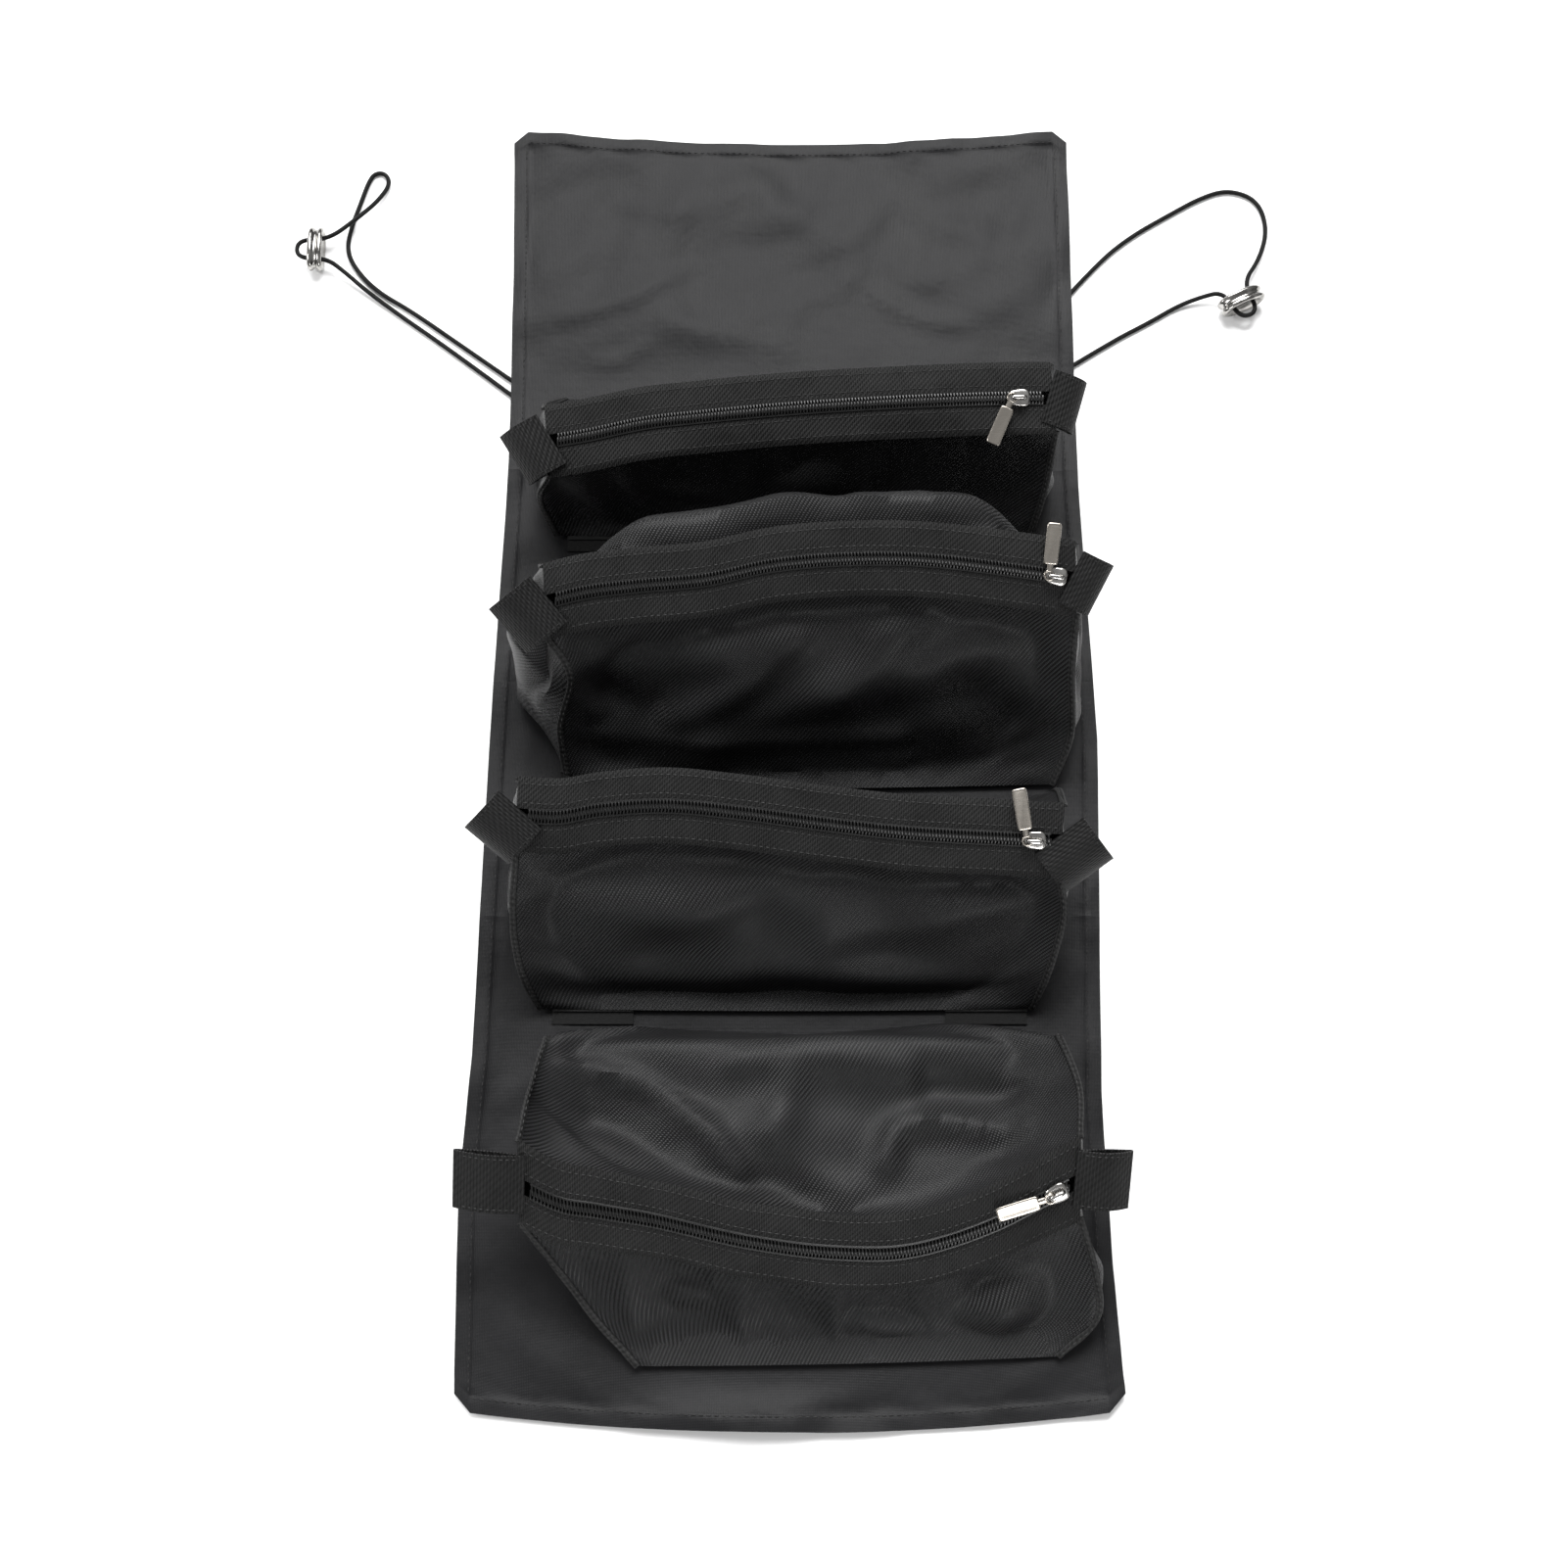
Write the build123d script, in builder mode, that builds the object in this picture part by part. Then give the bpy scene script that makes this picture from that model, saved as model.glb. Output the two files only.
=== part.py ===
"""Roll-up hanging toiletry bag, laid open flat on its back.

A hemmed nylon panel folds along four lines. Four zipped mesh pouches are held on it by
hook-and-loop, and an elastic cord loop with a two-hole cord stop leaves each side edge.
Millimetres. +X is right, +Y runs up the panel to the plain top flap, +Z is up. The origin is
under the middle of the open panel. Profiles are given as (distance from the bottom hem, z).
"""

import os
from math import asin, cos, degrees, hypot, pi, radians, sin, tan
from types import SimpleNamespace

from build123d import *

# ---- driving dimensions ---------------------------------------------------------------
panel_width = 280
panel_length = 620
panel_thickness = 2.4
corner_cut = 7
fold_lines = [158.5, 270.5, 385.0, 490.0]  # from the bottom hem
fold_gap = 0.6

patch_length, patch_depth = 36, 25
patch_spacing = 174
patch_thickness = 1.0
rest_gap = 0.3  # between a loop patch and the hook patch above it

pouch_width = 238
wall = 1.0
seam_gap = 2.2  # between a wall's edge and the zip tape sewn to it
back_gap = 4.0  # the same at the back, where the slider passes nearer

tape_edge = 16.5  # from the chain's middle line
tape_thickness = 0.6
chain_gap, chain_edge, chain_height = 0.6, 3.2, 2.2
chain_half = 111
tape_half = 116

slider_length, slider_width = 10, 8.8
plate_low, plate_high = 1.5, 2.4  # the slider's top plate, above the chain's middle
flange_low, flange_width = 0.7, 0.7
post_length, post_width = 2.5, 0.6
crown_length, crown_top, crown_width = 7.4, 5.4, 1.8
crown_hole_length, crown_hole_top = 5.2, 4.5
leg_at = -(crown_length + crown_hole_length) / 4
ring_outer, ring_inner = 2.55, 1.45
puller_low, puller_thickness = 2.8, 1.1
puller_neck, puller_length, puller_width = 2.6, 23.0, 6.4

tab_width, tab_thickness = 25, 2.0

cord_diameter = 2.2
cord_z = 1.2
stop_length, stop_height, stop_thickness = 23.5, 13.0, 7.3
stop_z = 6.6
stop_hole, stop_hole_spacing = 3.0, 10.5
stop_flange = 2.3

middle = panel_length / 2
panel_top = panel_thickness
hook_low = panel_top + patch_thickness + rest_gap
floor_low = hook_low + patch_thickness  # underside of a pouch's bottom
floor_high = floor_low + wall

# One pouch each: shift across the panel, where its front and back feet stand, the chain's
# chord (y, z), the slope of its zip band, the chord's tilt, how far the chain bows up the
# band, the back ridge if it has one, the slider's place along the chain, the puller's turn
# from pointing left, and how far the tabs stand out on the left and on the right.
pouches = [
    SimpleNamespace(number=1, shift=5, front=400, back=487, chord=(434, 60), slope=22, tilt=4.9,
                    bow=5, ridge=None, rest=100, puller=66, tabs=(18, 16), patch=407),
    SimpleNamespace(number=2, shift=9, front=283, back=373, chord=(341, 78), slope=31, tilt=2.5,
                    bow=12.9, ridge=None, rest=107, puller=-86, tabs=(24, 17), patch=291),
    SimpleNamespace(number=3, shift=0, front=171, back=258, chord=(235, 69.5), slope=30, tilt=-2.8,
                    bow=0, ridge=None, rest=104, puller=-77, tabs=(27, 27), patch=178),
    SimpleNamespace(number=4, shift=4, front=18, back=146, chord=(88, 49), slope=31, tilt=0.5,
                    bow=-31, ridge=(150, 36), rest=106, puller=-10, tabs=(25, 20), patch=104),
]
ridge_front = (93, 50)  # where the fourth pouch's flopped back wall meets its zip band
flop_gap, flop_rise = 10.0, 22.0  # that wall's edge, short of the band and bowed with it

os.makedirs("parts", exist_ok=True)


def write(builder, name):
    """Label a finished piece and write it as its own STEP file."""
    builder.part.label = name
    export_step(builder.part, f"parts/{name}.step")


# ---- panel ----------------------------------------------------------------------------
def panel_piece(name, low, high, cut_low=False, cut_high=False):
    """One zone of the panel between two fold lines, with its outer corners cut."""
    with BuildPart() as piece:
        with BuildSketch() as outline:
            with Locations((0, (low + high) / 2 - middle)):
                Rectangle(panel_width, high - low)
            rows = outline.vertices().group_by(Axis.Y)
            if cut_low:
                chamfer(rows[0], corner_cut)
            if cut_high:
                chamfer(rows[-1], corner_cut)
        extrude(amount=panel_thickness)
    write(piece, name)


edges = [0, *fold_lines, panel_length]
half_gap = fold_gap / 2
for zone in range(1, 5):
    low, high = edges[4 - zone], edges[5 - zone]
    panel_piece(f"panel_zone_{zone}", low + (half_gap if low else 0), high - half_gap, cut_low=zone == 4)
panel_piece("panel_flap", edges[4] + half_gap, panel_length, cut_high=True)


def patches(name, y, z):
    """A left and a right patch of hook-and-loop at one height."""
    with BuildPart() as pair:
        with BuildSketch(Plane.XY.offset(z)):
            with Locations((0, y - middle)):
                with GridLocations(patch_spacing, 0, 2, 1):
                    RectangleRounded(patch_length, patch_depth, 1.5)
        extrude(amount=patch_thickness)
    write(pair, name)


# ---- a pouch's own geometry -----------------------------------------------------------
def unit(a, b):
    """The unit vector from one (y, z) point to another, and the distance between them."""
    length = hypot(b[0] - a[0], b[1] - a[1])
    return ((b[0] - a[0]) / length, (b[1] - a[1]) / length), length


def band_plane(p):
    """The zip band's plane: x along the chord to the right, y up the band, origin mid-chord."""
    slope, tilt = radians(p.slope), radians(p.tilt)
    up = Vector(0, cos(slope), sin(slope))
    return Plane(
        origin=(p.shift, p.chord[0] - middle, p.chord[1]),
        x_dir=Vector(cos(tilt), 0, 0) + up * sin(tilt),
        z_dir=(0, -sin(slope), cos(slope)),
    )


def bow_radius(p):
    """The chain's radius, negative when it sags down the band."""
    return (tape_half**2 + p.bow**2) / (2 * p.bow)


def chain_angle(p, along):
    """How far the chain has turned from its chord at a place along it, in radians."""
    return asin(along / bow_radius(p)) if p.bow else 0.0


def chain_point(p, along, across):
    """A point in the band's plane, across from the chain's middle line."""
    if not p.bow:
        return (along, across)
    radius, turn = bow_radius(p), chain_angle(p, along)
    return ((radius + across) * sin(turn), p.bow - radius + (radius + across) * cos(turn))


def chain_line(p, across, half):
    """The chain's middle line moved across, cut square at both ends of the zip."""
    if not p.bow:
        return Line((-half, across), (half, across))
    square = half * bow_radius(p) / (bow_radius(p) + across)
    ends = chain_point(p, -square, across), chain_point(p, square, across)
    return ThreePointArc(ends[0], chain_point(p, 0, across), ends[1])


def strip(p, near, far, half):
    """A flat strip of the zip band between two distances from the chain's middle line."""
    with BuildSketch(band_plane(p)) as outline:
        with BuildLine():
            first = chain_line(p, near, half)
            last = chain_line(p, far, half)
            Line(first @ 0, last @ 0)
            Line(first @ 1, last @ 1)
        make_face()
    return outline.sketch


def wall_plane(p, low, high):
    """A wall's plane: x to the right, y up the wall from its foot, z out of the pouch."""
    (y, z), _ = unit(low, high)
    return Plane(
        origin=(p.shift, low[0] - middle, low[1]), x_dir=(1, 0, 0), z_dir=(0, -z, y)
    )


def wall_outline(p, low, high, foot, gap, rise=0.0, lean=0.0):
    """A wall from its foot to short of the zip tape; its top edge bows, and falls on one side."""
    _, length = unit(low, high)
    half, top = pouch_width / 2 - 2 * wall, length - gap
    with BuildSketch(wall_plane(p, low, high)) as outline:
        with BuildLine():
            left, right = (-half, top - max(lean, 0)), (half, top + min(lean, 0))
            Polyline(left, (-half, foot), (half, foot), right)
            if rise:
                ThreePointArc(left, (0, top + rise), right)
            else:
                Line(left, right)
        make_face()
    return outline.sketch


def band_edge(p, across, along=0):
    """The (y, z) of the zip band's edge where it starts from the chord."""
    slope = radians(p.slope)
    reach = across + along * sin(radians(p.tilt))
    return (p.chord[0] + reach * cos(slope), p.chord[1] + reach * sin(slope))


def front_wall(p):
    """The mesh wall from the front foot up to the zip's front tape."""
    low, high = (p.front, floor_low), band_edge(p, -tape_edge)
    (y, z), _ = unit(low, high)
    in_line = y * cos(radians(p.slope)) + z * sin(radians(p.slope))
    lean = pouch_width / 2 * sin(radians(p.tilt)) * in_line
    with BuildPart() as piece:
        extrude(wall_outline(p, low, high, 3.6, seam_gap, p.bow * in_line, lean), amount=-wall)
    write(piece, f"front_wall_{p.number}")


def back_wall(p):
    """The mesh wall from the back foot up to the zip's back tape."""
    foot = (p.back, floor_low)
    with BuildPart() as piece:
        if p.ridge:
            extrude(wall_outline(p, foot, p.ridge, 2, 0), amount=wall)
            extrude(wall_outline(p, p.ridge, ridge_front, 0, flop_gap, flop_rise), amount=wall)
        else:
            extrude(wall_outline(p, foot, band_edge(p, tape_edge), 2, back_gap), amount=wall)
    write(piece, f"back_wall_{p.number}")


def gusset(p):
    """The one strip of mesh that makes both ends and the bottom."""
    half = pouch_width / 2
    with BuildPart() as piece:
        with BuildSketch(Plane.XY.offset(floor_low)):
            with Locations((p.shift, (p.front + p.back) / 2 - middle)):
                Rectangle(pouch_width, p.back - p.front)
        extrude(amount=wall)
        for side in (-1, 1):
            outline = [(p.front, floor_low), band_edge(p, -tape_edge, side * half)]
            outline.append(band_edge(p, tape_edge, side * half))
            if p.ridge:
                outline.append(p.ridge)
            outline.append((p.back, floor_low))
            flat = [(y - middle, z) for y, z in outline]
            with BuildSketch(Plane.YZ.offset(p.shift + side * half)):
                Polygon(*flat, align=None)
            extrude(amount=-side * wall)
    write(piece, f"gusset_{p.number}")


def zip_tape(p, side, name):
    """One zip tape, from the chain's edge to the band's edge."""
    with BuildPart() as piece:
        outline = strip(p, side * (chain_edge + 0.05), side * tape_edge, tape_half)
        extrude(outline, amount=tape_thickness / 2, both=True)
    write(piece, f"tape_{name}_{p.number}")


def coil(p):
    """The chain's two halves, with the slit between them that the slider's post runs in."""
    with BuildPart() as piece:
        for side in (-1, 1):
            outline = strip(p, side * chain_gap, side * chain_edge, chain_half)
            extrude(outline, amount=chain_height / 2, both=True)
    write(piece, f"coil_{p.number}")


def slider_place(p):
    """The slider's own frame: x along the chain to the right, z out of the band."""
    u, v = chain_point(p, p.rest, 0)
    turn = -degrees(chain_angle(p, p.rest))
    return band_plane(p).location * Location((u, v, 0), (0, 0, turn))


def slider(p):
    """Two plates joined by a post, with side flanges and the crown that holds the puller."""
    place = slider_place(p)
    with BuildPart() as piece:
        for side in (-1, 1):
            with BuildSketch(Plane(place).offset(side * plate_low)):
                RectangleRounded(slider_length, slider_width, 1.6)
            extrude(amount=side * (plate_high - plate_low))
            with BuildSketch(Plane(place).offset(side * flange_low)):
                with GridLocations(0, slider_width - flange_width, 1, 2):
                    Rectangle(slider_length - 3.4, flange_width)
            extrude(amount=side * (plate_low - flange_low))
        with BuildSketch(Plane(place).offset(-plate_low)):
            with Locations(((slider_length - post_length) / 2 - 0.6, 0)):
                Rectangle(post_length, post_width)
        extrude(amount=2 * plate_low)
        with BuildSketch(Plane(place * Location((0, 0, 0), (90, 0, 0)))) as side_view:
            with Locations((0, (plate_low + 0.1 + crown_top) / 2)):
                Rectangle(crown_length, crown_top - plate_low - 0.1)
            fillet(side_view.vertices().group_by(Axis.Z)[-1], 1.3)
            with Locations((0, (plate_high + crown_hole_top) / 2)):
                Rectangle(crown_hole_length, crown_hole_top - plate_high, mode=Mode.SUBTRACT)
        extrude(amount=crown_width / 2, both=True)
    write(piece, f"slider_{p.number}")


def puller(p):
    """A flat rectangular pull with a round eye threaded by the crown's left leg."""
    place = slider_place(p) * Location((leg_at, 0, puller_low), (0, 0, p.puller))
    with BuildPart() as piece:
        with BuildSketch(Plane(place)):
            Circle(ring_outer)
            with Locations((-ring_outer - puller_neck / 2 + 0.6, 0)):
                Rectangle(puller_neck, 2.6)
            plate = puller_length - ring_outer - puller_neck + 1.2
            with Locations((-ring_outer - puller_neck + 1.2 - plate / 2, 0)):
                RectangleRounded(plate, puller_width, 1.0)
            Circle(ring_inner, mode=Mode.SUBTRACT)
        extrude(amount=puller_thickness)
    write(piece, f"puller_{p.number}")


def tab(p, side, name):
    """A folded webbing tab sewn into one end seam, level with the zip."""
    out = p.tabs[0] if side < 0 else p.tabs[1]
    y, z = band_edge(p, 0, side * pouch_width / 2)
    plane = Plane(
        origin=(p.shift + side * pouch_width / 2, y - middle, z),
        x_dir=(1, 0, 0),
        z_dir=band_plane(p).z_dir,
    )
    with BuildPart() as piece:
        with BuildSketch(plane):
            with Locations((side * out / 2, 0)):
                Rectangle(out, tab_width)
        extrude(amount=tab_thickness / 2, both=True)
    write(piece, f"tab_{name}_{p.number}")


for pouch in pouches:
    patches(f"loop_patches_{pouch.number}", pouch.patch, panel_top)
    patches(f"hook_patches_{pouch.number}", max(pouch.patch, pouch.front + patch_depth / 2), hook_low)
    front_wall(pouch)
    back_wall(pouch)
    gusset(pouch)
    zip_tape(pouch, -1, "front")
    zip_tape(pouch, 1, "back")
    coil(pouch)
    slider(pouch)
    puller(pouch)
    tab(pouch, -1, "left")
    tab(pouch, 1, "right")


# ---- cord loops and their stops ---------------------------------------------------------
# Each route leaves the panel's side edge, goes through one hole of the stop, turns back
# outside it, returns through the other hole and ends at the panel's edge again.
left_route = [
    (-141.4, 483.8, 1.2), (-166, 503.5, 1.2), (-190.5, 521.8, 1.3), (-208, 535.3, 2.2),
    (-219.5, 545.2, 4.4), (-228.5, 551.75, 6.6), (-243.5, 551.8, 6.6), (-243.5, 562.3, 6.6),
    (-228.5, 562.25, 6.6), (-215, 574.5, 6.3), (-206, 586, 3.4), (-200.3, 597.5, 1.4),
    (-203, 604, 1.2), (-208.7, 604.2, 1.2), (-211.8, 597.5, 1.2), (-215, 585, 1.2),
    (-218.8, 571.5, 1.2), (-219.8, 557.8, 1.2), (-212.5, 545.5, 1.2), (-202, 535, 1.2),
    (-186, 525, 1.2), (-163.5, 508, 1.2), (-141.4, 491.4, 1.2),
]
right_route = [
    (141.4, 537.9, 1.2), (152.5, 551.5, 1.2), (170, 567, 1.2), (189, 579, 1.2), (207, 590, 1.2),
    (221, 594.5, 1.2), (235, 588.5, 1.2), (239, 572, 1.3), (233.5, 553.5, 3.2),
    (223.4, 537.6, 6.6), (230.6, 522.2, 6.6), (221.0, 517.75, 6.6), (213.9, 533.0, 6.6),
    (202.5, 531.5, 3.4), (191, 527.5, 1.3), (177, 518.5, 1.2), (159, 508.5, 1.2),
    (141.4, 496.2, 1.2),
]
stop_run = 9.0  # the cord stays straight this far through a stop's hole


def corner_radii(route, held):
    """Each corner's arc, as large as its runs allow; a run held in a stop stays straight."""
    points = [Vector(*point) for point in route]
    radii = []
    for n in range(1, len(points) - 1):
        before, after = points[n] - points[n - 1], points[n + 1] - points[n]
        turn = radians(before.get_angle(after))
        reach = 0.45 * min(before.length, after.length)
        if {n - 1, n} & held:
            run = before if n - 1 in held else after
            reach = min(reach, (run.length - stop_run) / 2)
        radii.append(reach / tan(turn / 2))
    return radii


def cord(name, route, held):
    """One elastic cord as a plain tube of straight runs and tangent arcs."""
    route = [(x, y - middle, z) for x, y, z in route]
    radii = corner_radii(route, held)
    with BuildPart() as piece:
        with BuildLine() as path:
            FilletPolyline(*route, radius=radii)
        with BuildSketch(path.line ^ 0):
            Circle(cord_diameter / 2)
        sweep()
    write(piece, name)
    length = sum(edge.length for edge in path.edges())
    fill = piece.part.volume / (length * pi * cord_diameter**2 / 4)
    print(name, "length", round(length, 1), "volume over section x length", round(fill, 4))
    print("  radii", [round(r, 1) for r in radii])


def cord_stop(name, place, long_axis, hole_axis):
    """An oval two-hole cord stop standing on its long side, with a groove round its rim."""
    plane = Plane(origin=(place[0], place[1] - middle, stop_z), x_dir=long_axis, z_dir=hole_axis)
    with BuildPart() as piece:
        with BuildSketch(plane):
            SlotOverall(stop_length - 1.6, stop_height - 1.6)
        extrude(amount=stop_thickness / 2, both=True)
        for side in (-1, 1):
            with BuildSketch(plane.offset(side * stop_thickness / 2)):
                SlotOverall(stop_length, stop_height)
            extrude(amount=-side * stop_flange)
        rims = piece.faces().sort_by(Axis(plane.origin, plane.z_dir))
        fillet([rims[0].outer_wire().edges(), rims[-1].outer_wire().edges()], 0.9)
        with BuildSketch(plane):
            with GridLocations(stop_hole_spacing, 0, 2, 1):
                Circle(stop_hole / 2)
        extrude(amount=stop_thickness, both=True, mode=Mode.SUBTRACT)
    write(piece, name)


cord("cord_left", left_route, {5, 7})
cord("cord_right", right_route, {9, 11})
cord_stop("cord_stop_left", (-234, 557), (0, 1, 0), (-1, 0, 0))
cord_stop("cord_stop_right", (222.2, 527.7), (0.906, 0.423, 0), (0.423, -0.906, 0))
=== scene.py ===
"""The looks of a roll-up hanging toiletry bag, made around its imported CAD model.

Shapes are worked out in millimetres, with y counted from the bottom hem of the panel as in
the CAD model's design, and become metres in the frame's own origin when a mesh is made.
"""

import math
from types import SimpleNamespace

import bpy
import numpy as np
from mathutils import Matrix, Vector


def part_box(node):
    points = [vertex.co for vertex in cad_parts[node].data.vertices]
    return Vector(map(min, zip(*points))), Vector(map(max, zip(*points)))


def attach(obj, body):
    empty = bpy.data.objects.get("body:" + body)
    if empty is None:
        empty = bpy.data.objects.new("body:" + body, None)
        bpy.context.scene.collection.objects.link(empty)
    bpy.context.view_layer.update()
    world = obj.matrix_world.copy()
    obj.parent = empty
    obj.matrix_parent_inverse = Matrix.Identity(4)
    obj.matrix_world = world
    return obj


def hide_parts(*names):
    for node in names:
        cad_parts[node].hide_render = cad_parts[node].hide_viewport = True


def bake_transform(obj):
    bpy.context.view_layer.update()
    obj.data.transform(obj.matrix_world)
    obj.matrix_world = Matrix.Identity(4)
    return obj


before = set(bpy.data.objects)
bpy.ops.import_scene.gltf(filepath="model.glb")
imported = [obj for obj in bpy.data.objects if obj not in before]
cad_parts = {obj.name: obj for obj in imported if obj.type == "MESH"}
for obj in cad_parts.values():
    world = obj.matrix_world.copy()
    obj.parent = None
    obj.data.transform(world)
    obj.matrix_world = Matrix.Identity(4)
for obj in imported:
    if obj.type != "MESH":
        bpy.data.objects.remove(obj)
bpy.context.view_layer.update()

MM = 0.001
PANEL_MIDDLE = 310.0
TAPE_EDGE = 16.5
TAPE_HALF = 116.0
CORD_DIAMETER = 0.0022
FOLD_LINES = [158.5, 270.5, 385.0, 490.0]


# ---- camera and light -----------------------------------------------------------------
def make_camera():
    """A 54 mm lens looking down the panel from above its bottom edge."""
    data = bpy.data.cameras.new("camera")
    data.lens, data.sensor_width = 53.97, 36.0
    camera = bpy.data.objects.new("camera", data)
    camera.location = (-0.0024, -0.385, 1.0191)
    camera.rotation_euler = (math.radians(19.15), 0, 0)
    bpy.context.collection.objects.link(camera)
    bpy.context.scene.camera = camera


def area_light(name, location, aim, size, power):
    """A soft square light at one place, aimed at another."""
    data = bpy.data.lights.new(name, "AREA")
    data.size, data.energy = size, power
    light = bpy.data.objects.new(name, data)
    light.location = location
    direction = np.array(aim) - np.array(location)
    pitch = math.atan2(math.hypot(direction[0], direction[1]), -direction[2])
    light.rotation_euler = (pitch, 0, math.atan2(direction[1], direction[0]) - math.pi / 2)
    bpy.context.collection.objects.link(light)


make_camera()
bpy.context.scene.view_settings.view_transform = "Standard"
area_light("top", (0.25, 1.1, 1.5), (0, 0.05, 0), 0.8, 26)
area_light("side", (-1.2, 0.1, 0.8), (0, 0, 0.03), 0.35, 8)
area_light("foot", (0.4, -1.5, 0.7), (0, 0, 0.05), 0.5, 12)
sun = bpy.data.lights.new("sky", "SUN")
sun.energy, sun.angle = 3.0, math.radians(40)
sky = bpy.data.objects.new("sky", sun)
sky.rotation_euler = (math.radians(-40), math.radians(-10), 0)
bpy.context.collection.objects.link(sky)
world = bpy.data.worlds.new("studio")
world.use_nodes = True
tree = world.node_tree
place, axes = tree.nodes.new("ShaderNodeTexCoord"), tree.nodes.new("ShaderNodeSeparateXYZ")
ramp = tree.nodes.new("ShaderNodeValToRGB")
ramp.color_ramp.elements[0].position, ramp.color_ramp.elements[0].color = 0.1, (0.12, 0.12, 0.12, 1)
ramp.color_ramp.elements[1].position, ramp.color_ramp.elements[1].color = 0.8, (0.5, 0.5, 0.5, 1)
tree.links.new(place.outputs["Generated"], axes.inputs[0])
tree.links.new(axes.outputs["Z"], ramp.inputs[0])
tree.links.new(ramp.outputs[0], tree.nodes["Background"].inputs["Color"])
tree.nodes["Background"].inputs["Strength"].default_value = 0.8
bpy.context.scene.world = world


# ---- materials --------------------------------------------------------------------------
class Shader:
    """A procedural material on one Principled shader, built a node at a time."""

    def __init__(self, name, rough, **settings):
        self.material = bpy.data.materials.new(name)
        self.material.use_nodes = True
        self.tree = self.material.node_tree
        self.shader = self.tree.nodes["Principled BSDF"]
        self.shader.inputs["Roughness"].default_value = rough
        for key, value in settings.items():
            self.shader.inputs[key.replace("_", " ")].default_value = value
        self.texture = self.tree.nodes.new("ShaderNodeTexCoord")
        self.height = None

    def node(self, kind, inputs=(), **settings):
        made = self.tree.nodes.new(kind)
        for key, value in settings.items():
            setattr(made, key, value)
        for key, value in dict(inputs).items():
            if isinstance(value, bpy.types.NodeSocket):
                self.tree.links.new(value, made.inputs[key])
            else:
                made.inputs[key].default_value = value
        return made

    def threads(self, pitch, direction, turn=0.0, distortion=0.0, source="UV"):
        """Parallel ridges of one pitch in metres, in the cloth's own directions."""
        turned = self.node("ShaderNodeMapping", {"Vector": self.texture.outputs[source]})
        turned.inputs["Rotation"].default_value = (0, 0, math.radians(turn))
        scale = 2 * math.pi / 20 / pitch
        wave = self.node(
            "ShaderNodeTexWave",
            {"Vector": turned.outputs[0], "Scale": scale, "Distortion": distortion,
             "Detail": 1.0, "Detail Scale": 0.3},
            wave_type="BANDS", bands_direction=direction,
        )
        return wave.outputs["Fac"]

    def noise(self, size, detail=3.0, source="Object"):
        made = self.node(
            "ShaderNodeTexNoise",
            {"Vector": self.texture.outputs[source], "Scale": 1 / size, "Detail": detail},
        )
        return made.outputs["Fac"]

    def math(self, operation, a, b):
        made = self.tree.nodes.new("ShaderNodeMath")
        made.operation = operation
        for socket, value in zip(made.inputs, (a, b)):
            if isinstance(value, bpy.types.NodeSocket):
                self.tree.links.new(value, socket)
            else:
                socket.default_value = value
        return made.outputs[0]

    def colour(self, factor, stops):
        """The base colour, from a ramp over a factor."""
        ramp = self.node("ShaderNodeValToRGB", {"Fac": factor})
        for n, (place, value) in enumerate(stops):
            if n < 2:
                element = ramp.color_ramp.elements[n]
                element.position = place
            else:
                element = ramp.color_ramp.elements.new(place)
            element.color = (*value, 1)
        self.tree.links.new(ramp.outputs[0], self.shader.inputs["Base Color"])

    def rough(self, factor, low, high):
        ranged = self.node(
            "ShaderNodeMapRange", {"Value": factor, "To Min": low, "To Max": high}
        )
        self.tree.links.new(ranged.outputs[0], self.shader.inputs["Roughness"])

    def bump(self, height, depth, strength=1.0):
        """A height in metres, on top of the heights already given."""
        values = {"Height": height, "Distance": depth, "Strength": strength}
        if self.height:
            values["Normal"] = self.height
        made = self.node("ShaderNodeBump", values)
        self.height = made.outputs[0]
        self.tree.links.new(self.height, self.shader.inputs["Normal"])

    def sheer(self, factor, low, high):
        """Opacity between two values, where a weave lets light through."""
        ranged = self.node(
            "ShaderNodeMapRange", {"Value": factor, "To Min": low, "To Max": high}
        )
        self.tree.links.new(ranged.outputs[0], self.shader.inputs["Alpha"])


def grey(value, warm=0.0, cool=0.0):
    return (value + warm, value, value + cool)


def panel_cloth():
    made = Shader("panel_cloth", 0.42, Specular_IOR_Level=0.13)
    warp, weft = made.threads(0.0007, "X"), made.threads(0.0006, "Y")
    weave = made.math("MULTIPLY", warp, weft)
    patches, cloud = made.noise(0.035, 4.0), made.noise(0.0035, 2.0)
    tone = made.math("ADD", made.math("MULTIPLY", patches, 0.7), made.math("MULTIPLY", weave, 0.3))
    made.colour(tone, [(0.25, grey(0.006, 0, 0.0005)), (0.75, grey(0.014, 0, 0.0012))])
    made.rough(patches, 0.34, 0.5)
    made.bump(weave, 0.00012, 0.5)
    made.bump(cloud, 0.0003, 0.25)
    made.bump(patches, 0.003, 0.35)
    return made.material


def mesh_cloth():
    made = Shader("mesh", 0.4, Specular_IOR_Level=0.2)
    twill = made.threads(0.0015, "X", 38)
    cross = made.threads(0.0009, "X", -52)
    weave = made.math("MULTIPLY", twill, cross)
    patches = made.noise(0.04, 3.0)
    made.colour(made.math("ADD", made.math("MULTIPLY", twill, 0.5), made.math("MULTIPLY", patches, 0.5)),
                [(0.25, grey(0.006)), (0.75, grey(0.021, 0, 0.001))])
    made.bump(weave, 0.0003, 0.7)
    made.bump(patches, 0.003, 0.3)
    made.sheer(weave, 0.86, 1.0)
    return made.material


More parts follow.
